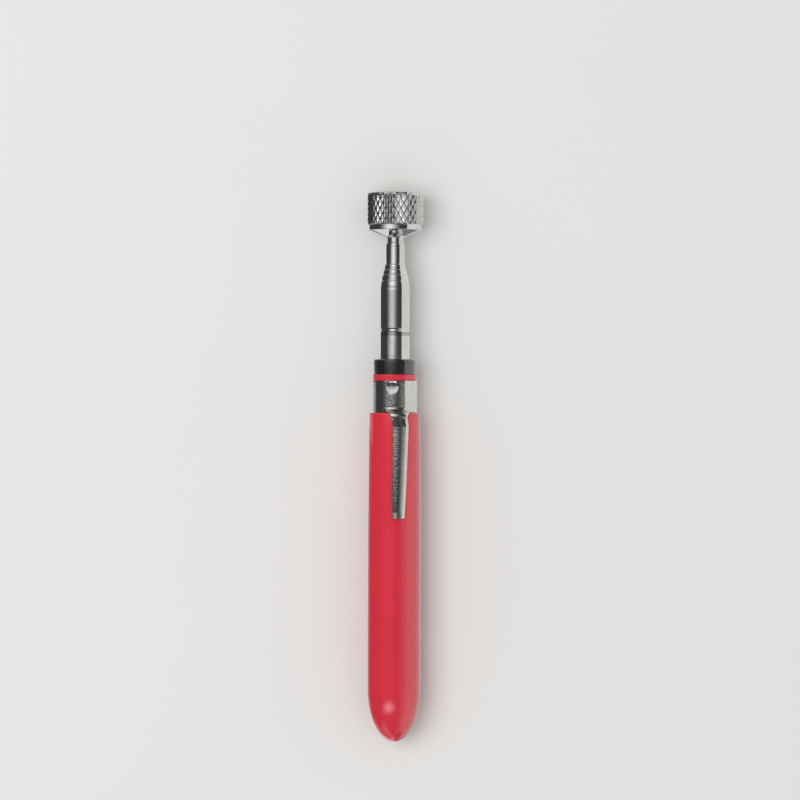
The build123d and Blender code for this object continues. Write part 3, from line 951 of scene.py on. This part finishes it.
class PICKUP_OT_stage(bpy.types.Operator):
    """Set the pale floor, the soft studio light and the camera above the tool"""

    bl_idname = "pickup.stage"
    bl_label = "Stage"

    def execute(self, context):
        self.floor(context.scene.pickup_colours)
        self.room()
        self.key_light()
        self.camera(context)
        context.scene.view_settings.view_transform = "Standard"
        return {"FINISHED"}

    def floor(self, colours):
        material, tree, place, shader = new_finish("Floor paper")
        cloud = effect(tree, "Handling smudges", place, Size=0.4)
        height = effect(tree, "Fine grain", place, Size=0.9 * MM)
        tint = blend_colours(tree, cloud, shade(colours.floor, 1.0), shade(colours.floor, 0.985))
        colour_and_gloss(tree, shader, tint, 0.85)
        bump(tree, shader, height, 0.01 * MM)
        half, low = 2.5, cad_box[0].z
        corners = ((-half, -half), (half, -half), (half, half), (-half, half))
        points = np.array([(x, y, low) for x, y in corners])
        piece = mesh_piece("floor", points, [[0, 1, 2, 3]], material)
        piece.visible_glossy = False

    def room(self):
        """The room that glossy reflections see, as a function of direction: the turn round the tool's
        axis, and along, how far the direction points along the axis. It isn't a physical room. Its levels
        are fitted to the view from above, where a small taper changes along a little, so narrow steps in
        along give the grip, the ring and each tube its own brightness. Every other ray sees an even dome."""
        world = bpy.data.worlds.new("Studio")
        bpy.context.scene.world = world
        world.use_nodes = True
        tree = world.node_tree
        tree.nodes.clear()
        direction = put(tree, "SeparateXYZ", {0: put(tree, "TexCoord").outputs["Generated"]}).outputs
        turn = calc(tree, "ARCTAN2", times(tree, direction[1], -1.0), direction[2])
        along = direction[0]
        endwise = calc(tree, "ABSOLUTE", along)

        def degrees(first, second, level=1.0):
            """level from the turn second onwards, eased from nothing at the turn first."""
            return ramp(tree, turn, radians(first), radians(second), 0.0, level)

        def hill(value, centre, width):
            off = calc(tree, "DIVIDE", calc(tree, "SUBTRACT", value, centre), width)
            return calc(tree, "EXPONENT", times(tree, off, off, -1.0))

        # strip light left of the camera: the outer tube reflects near, and the inner tubes near and far
        strip_turn, darkest, dome_level = radians(-26), 0.055, 0.62
        dip = calc(tree, "SUBTRACT", 1.0, times(tree, hill(along, 0.13, 0.05), 0.45))
        strip = times(tree, hill(turn, strip_turn, radians(29)), ramp(tree, along, 0.92, 0.60), dip)
        rise, fall = ramp(tree, along, 0.009, 0.011, 0.0, 0.90), ramp(tree, along, 0.016, 0.021, 0.0, 0.22)
        near = calc(tree, "SUBTRACT", rise, fall)
        far = ramp(tree, along, 0.027, 0.036, 0.0, 0.45)
        strip = times(tree, strip, plus(tree, near, far))
        # dull wall overhead with a dark gap, and a paler right side: the clip's arm and ring reflect them
        gap = calc(tree, "SUBTRACT", 1.0, times(tree, hill(turn, radians(4), radians(11)), 0.55))
        wall = times(tree, degrees(-62, -48, 0.10), degrees(52, 48), ramp(tree, along, 0.016, 0.008), gap)
        right = times(tree, degrees(5, 52, 0.50), degrees(56, 53), ramp(tree, along, 0.001, -0.005))
        # lamp beyond the handle's end, which lights the lower sides of the knurl
        lamp = times(tree, hill(turn, strip_turn, radians(24)), hill(along, -0.40, 0.10), 2.6)
        # sharp-edged soft box low on the right, and a pale bounce low on the left
        box = times(tree, degrees(51, 55), degrees(165, 145), ramp(tree, endwise, 0.92, 0.80, 0.0, 0.80))
        bounce = times(tree, degrees(-112, -126, 0.60), ramp(tree, endwise, 0.0065, 0.0040))
        # low left, which is darker beside the tubes; low right; and a side that only steep faces reflect
        level = ramp(tree, along, -0.25, -0.45, 0.0, 0.55)
        level = plus(tree, level, ramp(tree, along, 0.012, 0.005, 0.06, 0.30))
        level = plus(tree, level, ramp(tree, along, 0.08, 0.30, 0.0, 0.40))
        low_left = times(tree, degrees(-128, -140), level)
        low_right = times(tree, degrees(132, 142), ramp(tree, along, -0.25, -0.45, 0.60, 0.22))
        side = times(tree, degrees(-50, -62), degrees(-122, -108), ramp(tree, endwise, 0.55, 0.75, 0.0, 0.6))
        bright = darkest
        for part in (strip, wall, right, lamp, box, bounce, low_left, low_right, side):
            bright = calc(tree, "MAXIMUM", bright, part)
        tint = blend_colours(tree, box, (1.0, 1.0, 1.0, 1.0), (1.0, 0.985, 0.93, 1.0))
        seen = put(tree, "Background", {"Color": tint, "Strength": bright}).outputs[0]
        dome = put(tree, "Background", {"Color": (1.0, 0.995, 0.985, 1.0), "Strength": dome_level}).outputs[0]
        glossy = put(tree, "LightPath").outputs["Is Glossy Ray"]
        mixed = put(tree, "MixShader", {0: glossy, 1: dome, 2: seen}).outputs[0]
        surface = put(tree, "OutputWorld")
        tree.links.new(mixed, surface.inputs["Surface"])

    def key_light(self):
        """A large soft light above and a little to the left, for the soft shadow. Metal doesn't reflect
        it."""
        lamp = bpy.data.lights.new("soft_key", "AREA")
        lamp.shape, lamp.size, lamp.energy = "SQUARE", 0.9, 9.0
        key = bpy.data.objects.new("soft_key", lamp)
        key.location = (0.1, 0.55, 1.3)
        key.rotation_euler = (radians(-23), 0, 0)
        key.visible_glossy = False
        key.visible_camera = False
        bpy.context.scene.collection.objects.link(key)

    def camera(self, context):
        """Straight above the tool with the magnet at the top of the view, and the tool leaning by a hair."""
        lens = bpy.data.cameras.new("camera")
        lens.lens, lens.clip_end = 175, 20
        eye = bpy.data.objects.new("camera", lens)
        eye.location = (19.0 * MM, -1.4 * MM, AXIS_Z + 1.099)
        eye.rotation_euler = (0, 0, radians(-90 + 0.17))
        context.scene.collection.objects.link(eye)
        context.scene.camera = eye


# ---- panel and registration

STEPS = ["tubes", "grip", "collar", "clip", "head", "inner_finishes", "stage"]


class PICKUP_PT_panel(bpy.types.Panel):
    """Lists the pieces in building order, with the sizes and colours they use"""

    bl_idname = "PICKUP_PT_panel"
    bl_label = "Magnetic pickup tool"
    bl_space_type = "VIEW_3D"
    bl_region_type = "UI"
    bl_category = "Pickup Tool"

    def draw(self, context):
        for step in STEPS:
            self.layout.operator(f"pickup.{step}")
        for name in PROPERTIES:
            box = self.layout.box()
            group = getattr(context.scene, name)
            for key in group.__annotations__:
                box.prop(group, key)


PROPERTIES = {
    "pickup_tube_sizes": PickupTubeSizes,
    "pickup_grip_sizes": PickupGripSizes,
    "pickup_clip_sizes": PickupClipSizes,
    "pickup_head_sizes": PickupHeadSizes,
    "pickup_colours": PickupColours,
}
OPERATORS = (
    PICKUP_OT_tubes,
    PICKUP_OT_grip,
    PICKUP_OT_collar,
    PICKUP_OT_clip,
    PICKUP_OT_head,
    PICKUP_OT_inner_finishes,
    PICKUP_OT_stage,
    PICKUP_PT_panel,
)


def register():
    """Registers the sizes, the operators and the panel."""
    for name, group in PROPERTIES.items():
        bpy.utils.register_class(group)
        setattr(bpy.types.Scene, name, PointerProperty(type=group))
    for operator in OPERATORS:
        bpy.utils.register_class(operator)


def unregister():
    """Takes everything out again in reverse order."""
    for operator in reversed(OPERATORS):
        bpy.utils.unregister_class(operator)
    for name, group in reversed(list(PROPERTIES.items())):
        delattr(bpy.types.Scene, name)
        bpy.utils.unregister_class(group)


def main():
    """Builds every piece and the stage."""
    register()
    for step in STEPS:
        getattr(bpy.ops.pickup, step)()


if __name__ == "__main__":
    main()
